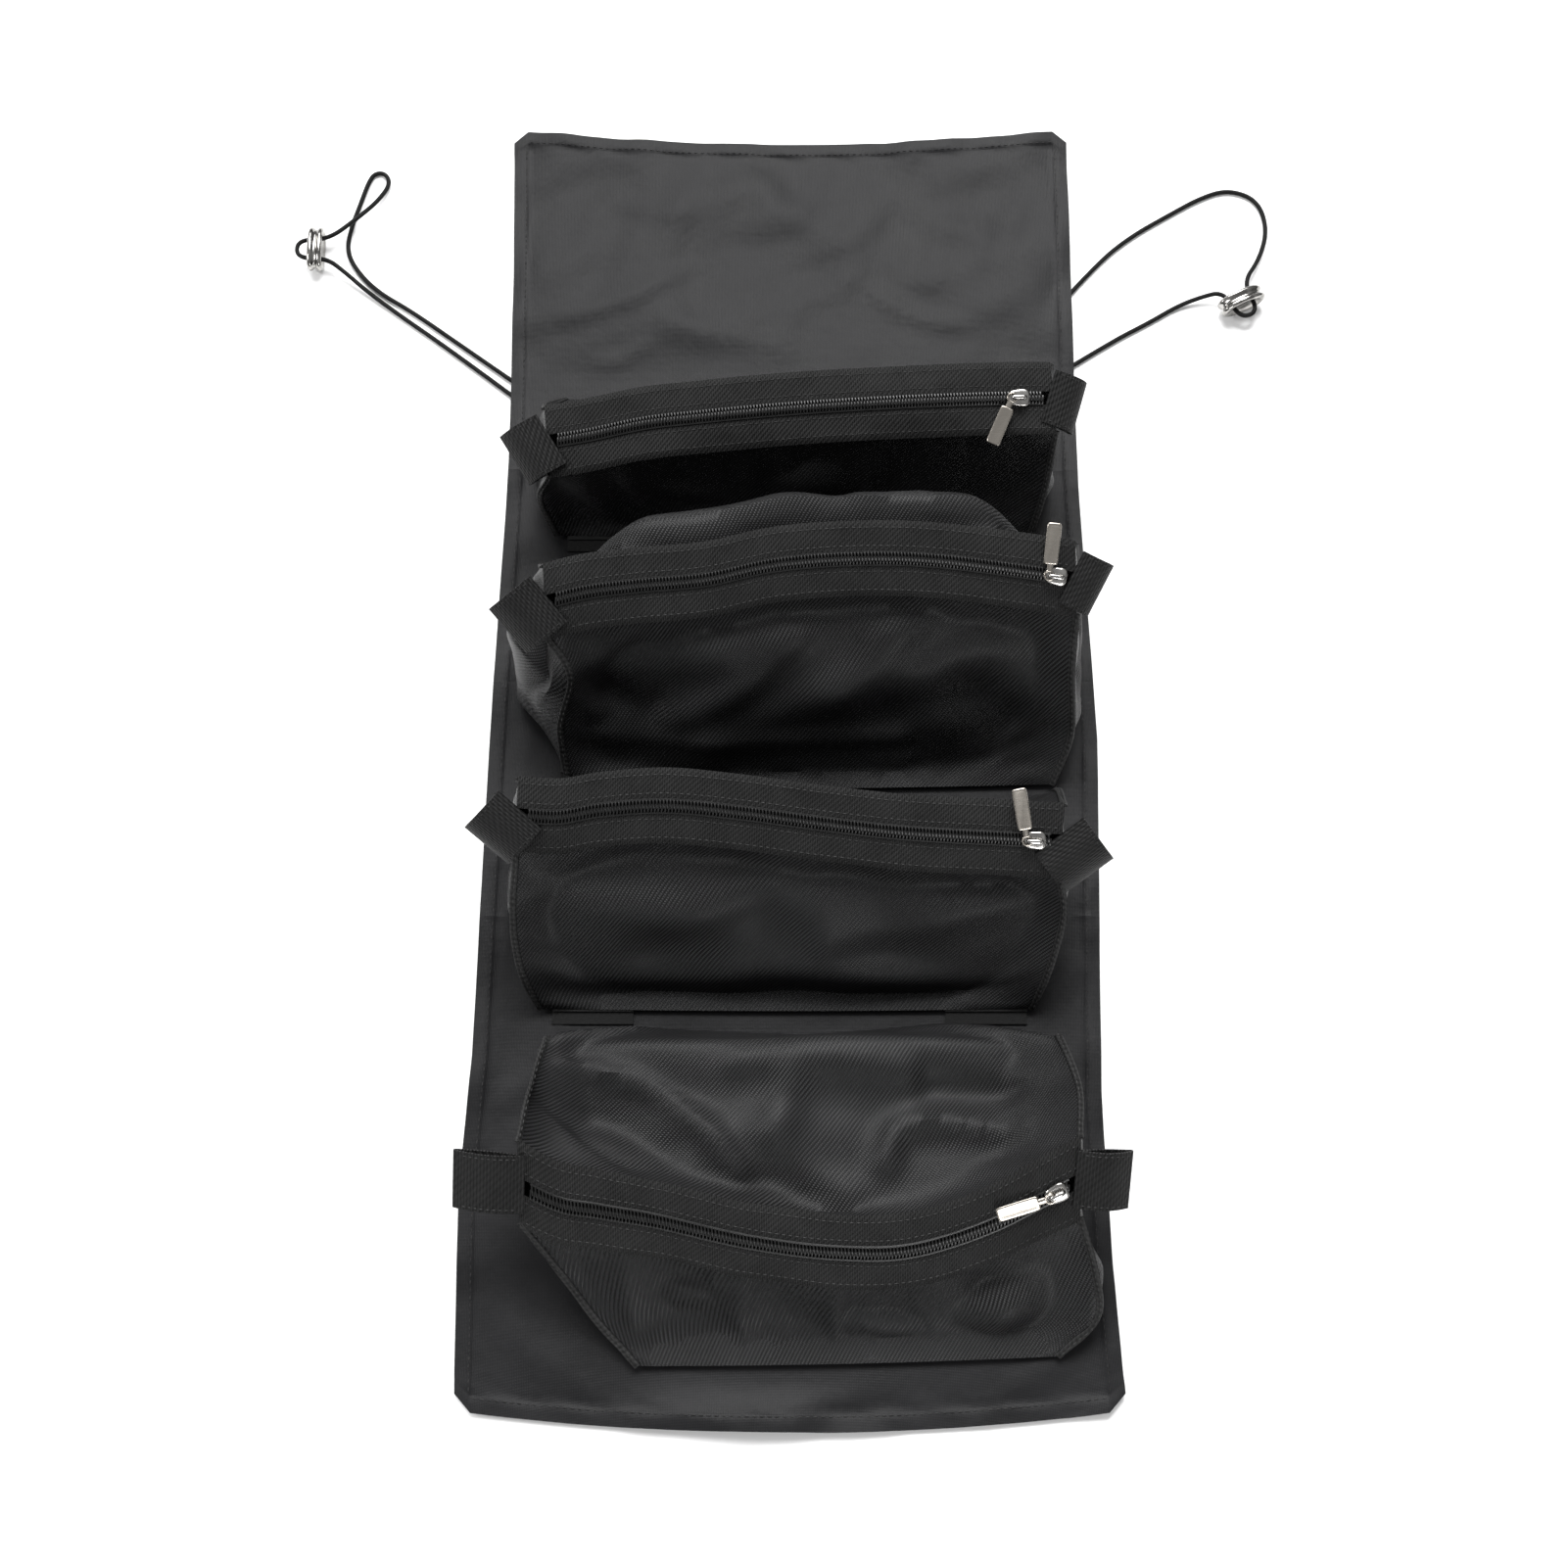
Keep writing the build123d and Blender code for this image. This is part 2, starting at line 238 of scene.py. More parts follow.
def ribbed(name, low, high, pitch, rough=0.62):
    """Grosgrain or webbing: fine ribs across, and a herringbone of diagonal threads."""
    made = Shader(name, rough, Specular_IOR_Level=0.18)
    ribs = made.threads(pitch, "X")
    bone = made.threads(pitch * 1.7, "X", 45)
    weave = made.math("ADD", made.math("MULTIPLY", ribs, 0.6), made.math("MULTIPLY", bone, 0.4))
    tone = made.math("ADD", made.math("MULTIPLY", weave, 0.6), made.math("MULTIPLY", made.noise(0.01), 0.4))
    made.colour(tone, [(0.2, grey(low)), (0.85, grey(high))])
    made.bump(weave, 0.0005, 1.0)
    return made.material


def plain(name, low, high, rough, size=0.004, depth=0.0001, **settings):
    """A material whose tone and surface vary a little over a small noise."""
    made = Shader(name, rough, **settings)
    speckle = made.noise(size, 4.0)
    made.colour(speckle, [(0.3, low), (0.7, high)])
    made.rough(speckle, rough * 0.85, min(rough * 1.2, 1.0))
    made.bump(speckle, depth, 0.4)
    return made.material


def brushed(name, tone, rough):
    """Satin metal with fine brush lines."""
    made = Shader(name, rough, Metallic=1.0)
    lines = made.node("ShaderNodeMapping", {"Vector": made.texture.outputs["Object"]})
    lines.inputs["Scale"].default_value = (200, 4000, 200)
    streak = made.node("ShaderNodeTexNoise", {"Vector": lines.outputs[0], "Scale": 1.0, "Detail": 2.0})
    made.colour(streak.outputs["Fac"], [(0.3, tuple(0.94 * v for v in tone)), (0.7, tone)])
    made.rough(streak.outputs["Fac"], rough * 0.8, rough * 1.3)
    made.bump(streak.outputs["Fac"], 0.00002, 0.1)
    return made.material


def braid():
    """The cord's woven cover: two sets of threads crossing round it."""
    made = Shader("elastic_cord", 0.6, Specular_IOR_Level=0.15)
    left = made.threads(0.0012, "X", 45, source="Object")
    right = made.threads(0.0012, "Y", 45, source="Object")
    weave = made.math("MAXIMUM", left, right)
    made.colour(weave, [(0.1, grey(0.001)), (0.9, grey(0.004))])
    made.bump(weave, 0.00015, 0.8)
    return made.material


materials = {
    "panel_cloth": panel_cloth(),
    "mesh": mesh_cloth(),
    "zip_tape": ribbed("zip_tape", 0.004, 0.026, 0.001),
    "webbing": ribbed("webbing", 0.002, 0.016, 0.0014),
    "zip_coil": plain("zip_coil", grey(0.004), grey(0.007), 0.34, Specular_IOR_Level=0.4),
    "loop_pile": plain("loop_pile", grey(0.004), grey(0.01), 0.9, 0.0012, 0.0006, Specular_IOR_Level=0.3),
    "hook_pile": plain("hook_pile", grey(0.004), grey(0.01), 0.7, 0.0009, 0.0006, Specular_IOR_Level=0.3),
    "elastic_cord": braid(),
    "slider_metal": plain("slider_metal", (0.3, 0.29, 0.28), (0.52, 0.51, 0.49), 0.22, 0.004, Metallic=1.0),
    "puller_metal": brushed("puller_metal", (0.42, 0.39, 0.35), 0.26),
    "stop_metal": plain("stop_metal", (0.2, 0.195, 0.185), (0.5, 0.49, 0.47), 0.16, 0.004, Metallic=1.0),
    "thread": plain("thread", grey(0.02), grey(0.04), 0.6, 0.002, Specular_IOR_Level=0.2),
    "floor": plain("floor", grey(0.93), grey(0.95), 0.8, 0.3, 0.0),
}


# ---- mesh making ------------------------------------------------------------------------
def metres(points):
    """Millimetres from the bottom hem to metres in the frame."""
    return (np.asarray(points, float) - (0, PANEL_MIDDLE, 0)) * MM


def grid_normals(points):
    """Unit normals of a grid of points, from its rows and columns."""
    along, across = np.gradient(points, axis=1), np.gradient(points, axis=0)
    normal = np.cross(along, across)
    return normal / np.maximum(np.linalg.norm(normal, axis=2, keepdims=True), 1e-9)


class Piece:
    """One Blender object put together from slabs, stitches, tubes and blocks."""

    def __init__(self, name):
        self.name, self.count = name, 0
        self.points, self.faces, self.uvs, self.marks, self.slots = [], [], [], [], []

    def add(self, points, faces, uvs, slot):
        """Append points in mm, faces by index, one uv a point, all in one material."""
        if slot not in self.slots:
            self.slots.append(slot)
        self.points.append(np.asarray(points, float))
        self.uvs.append(np.asarray(uvs, float))
        self.faces += [tuple(int(i) + self.count for i in face) for face in faces]
        self.marks += [self.slots.index(slot)] * len(faces)
        self.count += len(points)

    def slab(self, top, thickness, slot, start=0.0):
        """A closed sheet: a grid of points and the same grid below it along its normals."""
        rows, columns = top.shape[:2]
        below = top - grid_normals(top) * thickness
        across = np.r_[0, np.linalg.norm(np.diff(top, axis=1), axis=2).mean(0).cumsum()]
        along = start + np.r_[0, np.linalg.norm(np.diff(top, axis=0), axis=2).mean(1).cumsum()]
        flat = np.stack(np.meshgrid(across, along), axis=2).reshape(-1, 2) * MM
        index = np.arange(rows * columns).reshape(rows, columns)
        quad = np.stack([index[:-1, :-1], index[:-1, 1:], index[1:, 1:], index[1:, :-1]], 2)
        quad = quad.reshape(-1, 4)
        rim = np.r_[index[0, :], index[1:, -1], index[-1, -2::-1], index[-2:0:-1, 0]]
        other = rows * columns
        side = np.stack([np.roll(rim, -1), rim, rim + other, np.roll(rim, -1) + other], 1)
        faces = [*quad, *(quad[:, ::-1] + other), *side]
        self.add(np.r_[top.reshape(-1, 3), below.reshape(-1, 3)], faces, np.r_[flat, flat], slot)

    def stitches(self, path, normals, pitch=3.2, length=2.3, radius=0.32, slot="thread"):
        """A running stitch: small spindles laid end to end with gaps along a path."""
        step = np.linalg.norm(np.diff(path, axis=0), axis=1)
        place = np.r_[0, step.cumsum()]
        for start in np.arange(pitch / 2, place[-1] - length, pitch):
            spots = (start, start + length / 2, start + length)
            a, m, b = (np.array([np.interp(s, place, path[:, k]) for k in range(3)]) for s in spots)
            up = np.array([np.interp(start, place, normals[:, k]) for k in range(3)])
            side = np.cross(b - a, up)
            side /= max(np.linalg.norm(side), 1e-9)
            ring = [m + up * radius * 1.1, m + side * radius, m - up * radius, m - side * radius]
            points = [a, *ring, b]
            faces = [(0, 1 + (n + 1) % 4, 1 + n) for n in range(4)]
            faces += [(5, 1 + n, 1 + (n + 1) % 4) for n in range(4)]
            self.add(points, faces, np.zeros((6, 2)), slot)

    def tube(self, path, wide, high, normals, slot, sides=8):
        """A flattened tube along a path, closed at both ends."""
        along = np.gradient(path, axis=0)
        along /= np.maximum(np.linalg.norm(along, axis=1, keepdims=True), 1e-9)
        side = np.cross(along, normals)
        side /= np.maximum(np.linalg.norm(side, axis=1, keepdims=True), 1e-9)
        up = np.cross(side, along)
        angle = np.arange(sides) * 2 * math.pi / sides
        ring = path[:, None] + side[:, None] * np.cos(angle)[:, None] * wide / 2
        ring = ring + up[:, None] * np.sin(angle)[:, None] * high / 2
        count = len(path)
        index = np.arange(count * sides).reshape(count, sides)
        quad = np.stack([index[:-1], index[1:], np.roll(index, -1, 1)[1:], np.roll(index, -1, 1)[:-1]], 2)
        faces = [*quad.reshape(-1, 4), index[0], index[-1][::-1]]
        length = np.r_[0, np.linalg.norm(np.diff(path, axis=0), axis=1).cumsum()]
        uvs = np.stack(np.meshgrid(angle * wide / 6, length), 2).reshape(-1, 2) * MM
        self.add(ring.reshape(-1, 3), faces, uvs, slot)

    def loft(self, rings, slot):
        """A closed solid through rings of points, with a flat cap at each end."""
        count, sides = rings.shape[:2]
        index = np.arange(count * sides).reshape(count, sides)
        quad = np.stack([index[:-1], np.roll(index, -1, 1)[:-1], np.roll(index, -1, 1)[1:], index[1:]], 2)
        faces = [*quad.reshape(-1, 4), index[0][::-1], index[-1]]
        self.add(rings.reshape(-1, 3), faces, np.zeros((count * sides, 2)), slot)

    def build(self, smooth=True):
        """Make the object, its mesh in metres in the frame's origin."""
        mesh = bpy.data.meshes.new(self.name)
        mesh.from_pydata(metres(np.concatenate(self.points)).tolist(), [], self.faces)
        uvs = np.concatenate(self.uvs)
        layer = mesh.uv_layers.new(name="cloth")
        corners = np.empty(len(mesh.loops), dtype=np.int64)
        mesh.loops.foreach_get("vertex_index", corners)
        layer.data.foreach_set("uv", uvs[corners].ravel())
        mesh.polygons.foreach_set("material_index", self.marks)
        mesh.polygons.foreach_set("use_smooth", [smooth] * len(self.faces))
        for name in self.slots:
            mesh.materials.append(materials[name])
        mesh.validate()
        mesh.set_sharp_from_angle(angle=math.radians(50))
        made = bpy.data.objects.new(self.name, mesh)
        bpy.context.collection.objects.link(made)
        return made


def ripple(x, y, seed, size, terms=7):
    """Smooth random waves of about one size over a surface, between about -1 and 1."""
    random = np.random.default_rng(seed)
    total = np.zeros(np.broadcast(x, y).shape)
    for _ in range(terms):
        angle, phase = random.uniform(0, 2 * math.pi, 2)
        wave = 2 * math.pi / (size * random.uniform(0.6, 1.5))
        total += np.sin((x * math.cos(angle) + y * math.sin(angle)) * wave + phase)
    return total / math.sqrt(terms) / 1.4


def curve_through(points, count):
    """A smooth curve through a few points, sampled evenly by parameter."""
    points = np.asarray(points, float)
    if len(points) == 2:
        return points[0] + (points[1] - points[0]) * np.linspace(0, 1, count)[:, None]
    padded = np.vstack([2 * points[0] - points[1], points, 2 * points[-1] - points[-2]])
    at = np.linspace(0, len(points) - 1 - 1e-9, count)
    span = at.astype(int)
    t = (at - span)[:, None]
    a, b, c, d = (padded[span + k] for k in range(4))
    return 0.5 * (2 * b + (c - a) * t + (2 * a - 5 * b + 4 * c - d) * t**2
                  + (3 * b - a - 3 * c + d) * t**3)


def smooth(x, low, high):
    """0 below low, 1 above high, and an easy slope between."""
    t = np.clip((x - low) / (high - low), 0, 1)
    return t * t * (3 - 2 * t)


# ---- panel ------------------------------------------------------------------------------
HEM = 7.0
PANEL_THICKNESS = 1.1
left_edge = np.array([
    (0, -141), (95, -143), (150, -139.5), (300, -138), (440, -134.5), (540, -136), (620, -138.5),
])
right_edge = np.array([(0, 141), (60, 138), (135, 136.5), (300, 142), (430, 138.5), (520, 139), (620, 140)])


# Creases pressed into the flap and the panel's loose places: both ends, height and width.
creases = [
    (-111, 519, -48, 546, 1.3, 4), (-95, 496, -70, 503, 1.2, 3.5), (40, 537, 84, 512, 1.3, 4.5),
    (-20, 600, 30, 560, 1.0, 9), (60, 585, 100, 560, 0.9, 7), (-90, 590, -55, 575, 0.9, 6),
    (0, 545, 45, 560, -0.8, 8), (-60, 520, -10, 505, 0.8, 6), (-125, 130, -100, 165, 1.0, 5),
    (-130, 95, -112, 120, 0.9, 5), (-60, 8, 40, 14, 0.8, 5), (90, 12, 130, 40, 0.9, 6),
    (-120, 40, -90, 14, 0.8, 6), (122, 180, 134, 230, 0.8, 4), (-133, 240, -120, 300, 0.8, 4),
]


def panel_surface(across, y):
    """The panel's top surface: across from -1 to 1 between its side edges, y up the panel."""
    left = np.interp(y, left_edge[:, 0], left_edge[:, 1])
    right = np.interp(y, right_edge[:, 0], right_edge[:, 1])
    x = (left + right) / 2 + across * (right - left) / 2
    cut = 7.0
    corner = np.clip(np.abs(across) * 140 - (140 - cut), 0, cut)
    top, bottom = smooth(y, 480, 620), 1 - smooth(y, 0, 70)
    out = y + top * 6.5 * across**2 - bottom * 9 * (1 - across**2)
    out = out - corner * smooth(y, 600, 620) + corner * (1 - smooth(y, 0, 20))
    flap, foot, side = smooth(y, 487, 520), 1 - smooth(y, 0, 22), smooth(np.abs(across), 0.86, 1)
    loose = np.maximum(np.maximum(flap, foot), side * 0.8)
    wave = 1.9 * ripple(x, y, 3, 150) + 1.1 * ripple(x, y, 5, 60) + 0.5 * ripple(x, y, 8, 26)
    edge = np.minimum(140 * (1 - np.abs(across)), np.minimum(y, 620 - y))
    pucker = 0.3 * np.sin(y * 2 * math.pi / 8.5 + across * 33) * np.exp(-((edge - HEM) / 4.0) ** 2)
    hem = 0.45 * (1 - smooth(edge, HEM - 0.6, HEM + 0.5))
    crease = 0
    for x0, y0, x1, y1, height, wide in creases:
        length = math.hypot(x1 - x0, y1 - y0)
        u, v = (x1 - x0) / length, (y1 - y0) / length
        along = ((x - x0) * u + (y - y0) * v) / length
        away = (y - y0) * u - (x - x0) * v + 3 * np.sin(along * 4)
        past_end = np.clip(np.abs(along - 0.5) - 0.3, 0, None)
        crease = crease + height * np.exp(-(away / wide) ** 2 - past_end ** 2 * 16)
    z = 2.1 + np.maximum(wave + 1.2, 0) * loose + pucker + hem + crease
    return np.stack([x, out, z], axis=-1)


hem_steps = np.array([0, 0.8, 3.5, HEM - 0.7, HEM, HEM + 0.6, HEM + 3])
inner = np.linspace(HEM + 7, 140, 27)
offsets = np.r_[hem_steps, inner]
across_lines = np.r_[-1 + offsets / 140, (1 - offsets / 140)[::-1][1:]]


def panel_piece(name, low, high, fold, ends=()):
    """One stretch of the panel that crosses one fold, with its hem stitches."""
    rows = np.arange(low, high + 0.01, (high - low) / round((high - low) / 4.0))
    if "bottom" in ends:
        rows = np.unique(np.r_[low + hem_steps, rows[rows > low + HEM + 4]])
    if "top" in ends:
        rows = np.unique(np.r_[rows[rows < high - HEM - 4], high - hem_steps])
    grid = panel_surface(across_lines[None, :], rows[:, None])
    piece = Piece(name)
    piece.slab(grid, PANEL_THICKNESS, "panel_cloth", low)
    inset = 1 - (HEM - 0.9) / 140
    start = low + (HEM - 0.9 if "bottom" in ends else 0)
    stop = high - (HEM - 0.9 if "top" in ends else 0)
    fine = np.arange(start, stop + 0.01, 1.5)
    lines = [(np.full_like(fine, side * inset), fine) for side in (-1, 1)]
    width = np.linspace(-inset, inset, 180)
    if "bottom" in ends:
        lines.append((width, np.full_like(width, start)))
    if "top" in ends:
        lines.append((width, np.full_like(width, stop)))
    for across, y in lines:
        path = panel_surface(across, y) + (0, 0, 0.12)
        piece.stitches(path, np.tile((0.0, 0.0, 1.0), (len(path), 1)))
    made = piece.build()
    y = (fold - PANEL_MIDDLE) * MM
    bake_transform(made)
    return made


zone_middles = [215, 328, 437]
panel_parts = [
    panel_piece("panel_top_sheet", zone_middles[2], 620, FOLD_LINES[3], ["top"]),
    panel_piece("panel_sheet_2", zone_middles[1], zone_middles[2], FOLD_LINES[2]),
    panel_piece("panel_sheet_3", zone_middles[0], zone_middles[1], FOLD_LINES[1]),
    panel_piece("panel_bottom_sheet", 0, zone_middles[0], FOLD_LINES[0], ["bottom"]),
]
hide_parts("panel_flap", "panel_zone_1")
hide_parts("panel_zone_2")
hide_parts("panel_zone_3", "panel_zone_4")


# ---- pouches ----------------------------------------------------------------------------
# The zip band of each as in the CAD model, then the soft corners and seams of its walls:
# front and back seams run from the bottom corner up to the zip band's corner.
pouches = [
    SimpleNamespace(
        number=1, rest=100, puller=66, shift=5, chord=(434, 60), slope=22, tilt=4.9, bow=5, seed=11,
        front_left=[(-110, 402, 5), (-116, 410, 28)], front_right=[(114, 402, 5), (119, 413, 28)],
        back_left=[(-108, 474, 5), (-114, 458, 30)], back_right=[(119, 480, 5), (122, 466, 34)],
        front_bulge=4, back_bulge=3, ends=(15, 8), tabs=(18, 15), droop=(40, 70), swing=(28, 20)),
    SimpleNamespace(
        number=2, rest=107, puller=-86, shift=9, chord=(341, 78), slope=31, tilt=2.5, bow=12.9, seed=23,
        front_left=[(-100, 275, 5), (-103, 294, 30), (-97, 311, 52)],
        front_right=[(120, 277, 5), (127, 294, 25), (125, 311, 52)],
        back_left=[(-108, 368, 5), (-112, 366, 45)], back_right=[(127, 368, 5), (130, 366, 45)],
        front_bulge=9, back_bulge=6, ends=(30, 12), tabs=(22, 16), droop=(35, 80), swing=(38, 28)),
    SimpleNamespace(
        number=3, rest=104, puller=-77, shift=0, chord=(235, 69.5), slope=30, tilt=-2.8, bow=0, seed=37,
        front_left=[(-110, 172, 5), (-117, 184, 24), (-119, 202, 46)],
        front_right=[(107, 172, 5), (113, 184, 24), (118, 203, 46)],
        back_left=[(-112, 257, 5), (-117, 262, 40)], back_right=[(110, 257, 5), (117, 262, 40)],
        front_bulge=6, back_bulge=6, ends=(13, 8), tabs=(26, 26), droop=(70, 60), swing=(50, 52)),
    SimpleNamespace(
        number=4, rest=106, puller=-10, shift=4, chord=(88, 49), slope=31, tilt=0.5, bow=-31, seed=41,
        front_left=[(-64, 18, 5), (-82, 37, 12), (-98, 57, 25)],
        front_right=[(113, 22, 5), (129, 37, 14), (127, 56, 28)],
        back_left=[(-108, 150, 5), (-104, 152, 34), (-109, 128, 47)],
        back_right=[(118, 150, 5), (115, 152, 36), (121, 128, 50)],
        front_bulge=5, back_bulge=0, ends=(9, 7), tabs=(26, 20), droop=(14, 22), swing=(-3, 4)),
]


# How far each zip wanders up its band from the CAD model's even curve: (along, up) in mm.
sways = {
    1: [(-116, 0), (-96, 0), (-70, 1.5), (-40, 1), (40, 0), (116, 0)],
    2: [(-116, 0), (-98, 0), (-75, -2), (-45, -4), (-12, -0.5), (40, 1), (85, 0), (116, 0)],
    3: [(-116, 0), (-98, 0), (-80, 4), (-52, 7), (-20, 5.5), (15, 2.5), (50, 0.3), (90, 0), (116, 0)],
    4: [(-116, 0), (-99, 0), (-82, 4), (-56, 7), (-20, 4), (15, -0.5), (45, -4), (80, -2.5),
        (100, -0.3), (116, 0)],
}
# Soft folds of each wall: points across and up it as shares of its size, height and width in mm.
folds = {
    (1, "front"): [
        ([(0.88, 0.95), (0.8, 0.7), (0.88, 0.35)], -4, 9),
        ([(0.1, 0.8), (0.3, 0.5), (0.6, 0.6)], 3, 12),
    ],
    (2, "front"): [
        ([(0.24, 0.36), (0.38, 0.6), (0.46, 0.78)], 3.5, 8),
        ([(0.7, 0.86), (0.58, 0.58), (0.46, 0.42), (0.3, 0.3)], 4.5, 10),
        ([(0.04, 0.27), (0.3, 0.24), (0.66, 0.27)], 3.5, 5.5),
        ([(0.16, 0.11), (0.4, 0.1), (0.68, 0.13)], 3, 5),
        ([(0.09, 0.5), (0.17, 0.42)], -6, 8),
        ([(0.8, 0.5), (0.93, 0.35)], -4, 12),
    ],
    (3, "front"): [
        ([(0.04, 0.8), (0.3, 0.62), (0.48, 0.8)], 3, 8),
        ([(0.58, 0.5), (0.75, 0.6), (0.93, 0.75)], 3.5, 9),
        ([(0.1, 0.2), (0.5, 0.3), (0.9, 0.2)], 3, 8),
    ],
    (4, "front"): [
        ([(0.04, 0.85), (0.3, 0.62), (0.6, 0.5), (0.9, 0.6)], 3, 10),
        ([(0.9, 0.8), (0.8, 0.35), (0.85, 0.15)], 3, 8),
    ],
    (4, "back"): [
        ([(0.94, 0.45), (0.82, 0.5), (0.71, 0.62), (0.61, 0.82)], 6, 6),
        ([(0.97, 0.66), (0.84, 0.68), (0.74, 0.78)], -7, 9),
        ([(0.35, 0.75), (0.32, 0.64), (0.23, 0.64), (0.1, 0.76)], 6, 6),
        ([(0.26, 0.5), (0.12, 0.56)], -6, 8),
        ([(0.52, 0.5), (0.54, 0.72), (0.42, 0.88)], 5, 9),
        ([(0.62, 0.42), (0.5, 0.4), (0.3, 0.44)], 3, 6),
    ],
    (2, "back"): [
        ([(0.2, 0.7), (0.4, 0.85)], 3, 8),
    ],
}


def band_axes(p):
    """The zip band's right, up-the-band and outward directions, and its middle."""
    slope, tilt = math.radians(p.slope), math.radians(p.tilt)
    up = np.array([0, math.cos(slope), math.sin(slope)])
    right = np.array([math.cos(tilt), 0, 0]) + up * math.sin(tilt)
    out = np.array([0, -math.sin(slope), math.cos(slope)])
    return right, np.cross(out, right), out, np.array([p.shift, *p.chord], float)


def band_point(p, along, across, lift=0.0):
    """Points of the zip band: along the chain's chord, across the chain, and out of it."""
    right, up, out, middle = band_axes(p)
    along, across, lift = np.broadcast_arrays(along, across, lift)
    sway = curve_through(sways[p.number], 120)
    across_sway = np.interp(along, sway[:, 0], sway[:, 1])
    if p.bow:
        radius = (TAPE_HALF**2 + p.bow**2) / (2 * p.bow)
        reach = along * radius / (radius + across)
        turn = np.arcsin(reach / radius)
        u, v = (radius + across) * np.sin(turn), p.bow - radius + (radius + across) * np.cos(turn)
    else:
        u, v = along, across
    v = v + across_sway
    return middle + u[..., None] * right + v[..., None] * up + lift[..., None] * out


def band_wave(p, along, across):
    """How far the loose edges of the zip's tapes stand out of the flat band."""
    loose = smooth(np.abs(across), 5, TAPE_EDGE)
    return loose * (1.1 * ripple(along, across * 0.6, p.seed, 60) - 0.5)


def tape_curve(p, side, count):
    """The edge of the zip band that a wall is sewn to."""
    along = np.linspace(-TAPE_HALF, TAPE_HALF, count)
    across = np.full(count, side * (TAPE_EDGE - 1.6))
    return band_point(p, along, across, band_wave(p, along, across) - 0.7)


def patch(bottom, top, left, right):
    """A surface between four curves that meet at its corners."""
    rows, columns = len(left), len(bottom)
    t, s = np.linspace(0, 1, rows)[:, None, None], np.linspace(0, 1, columns)[None, :, None]
    ruled = (1 - t) * bottom[None] + t * top[None] + (1 - s) * left[:, None] + s * right[:, None]
    corners = (1 - t) * ((1 - s) * bottom[0] + s * bottom[-1]) + t * ((1 - s) * top[0] + s * top[-1])
    return ruled - corners


def bulged(grid, amount, seed, wrinkle, creases=()):
    """Push a patch out along its normals, most in the middle, with soft wrinkles and folds."""
    rows, columns = grid.shape[:2]
    t, s = np.linspace(0, 1, rows)[:, None], np.linspace(0, 1, columns)[None, :]
    middle = (np.sin(math.pi * t) ** 0.8) * (np.sin(math.pi * s) ** 0.5)
    waves = ripple(grid[..., 0], grid[..., 1] * 1.3 + grid[..., 2], seed, 60) * wrinkle
    push = (amount + waves) * middle
    wide = np.linalg.norm(np.diff(grid[rows // 2], axis=0), axis=1).sum()
    tall = np.linalg.norm(np.diff(grid[:, columns // 2], axis=0), axis=1).sum()
    for line, height, width in creases:
        spots = curve_through(line, 30)
        gap = np.hypot((s[..., None] - spots[:, 0]) * wide, (t[..., None] - spots[:, 1]) * tall)
        push = push + height * np.exp(-((gap.min(axis=2) / width) ** 2)) * np.minimum(1, middle * 1.6)
    return grid + grid_normals(grid) * push[..., None]


WALL_ROWS, WALL_COLUMNS, END_COLUMNS = 30, 84, 30


def pouch_walls(p):
    """The four walls of a pouch as grids of points, before the cloth settles."""
    top = {side: tape_curve(p, side, WALL_COLUMNS) for side in (-1, 1)}
    seams = {}
    for name, side, end in (("front_left", -1, 0), ("front_right", -1, -1),
                            ("back_left", 1, 0), ("back_right", 1, -1)):
        seams[name] = curve_through([*getattr(p, name), top[side][end]], WALL_ROWS)
    walls = {}
    for face, side, bulge in (("front", -1, p.front_bulge), ("back", 1, p.back_bulge)):
        left, right = seams[f"{face}_left"], seams[f"{face}_right"]
        s = np.linspace(0, 1, WALL_COLUMNS)[:, None]
        foot = left[0] * (1 - s) + right[0] * s
        foot = foot + (0, side * 1.0, 0) * np.sin(math.pi * s)
        grid = patch(foot, top[side], left, right)
        walls[face] = grid[:, ::-side] if side > 0 else grid
        if side > 0:
            walls[face] = grid[:, ::-1]
        if face == "back" and p.number in (2, 4):
            walls[face] = ridge_wall(p, walls[face])
        walls[face] = bulged(walls[face], bulge, p.seed + side, 3.0, folds.get((p.number, face), ()))
    for name, side, bulge in (("left", -1, p.ends[0]), ("right", 1, p.ends[1])):
        front, back = seams[f"front_{name}"], seams[f"back_{name}"]
        at = 0 if side < 0 else -1
        s = np.linspace(0, 1, END_COLUMNS)[:, None]
        foot = front[0] * (1 - s) + back[0] * s
        head = top[-1][at] * (1 - s) + top[1][at] * s
        grid = patch(foot, head, front, back)
        walls[name] = bulged(grid if side > 0 else grid[:, ::-1], bulge, p.seed + 5 * side, 2.5)
    return walls


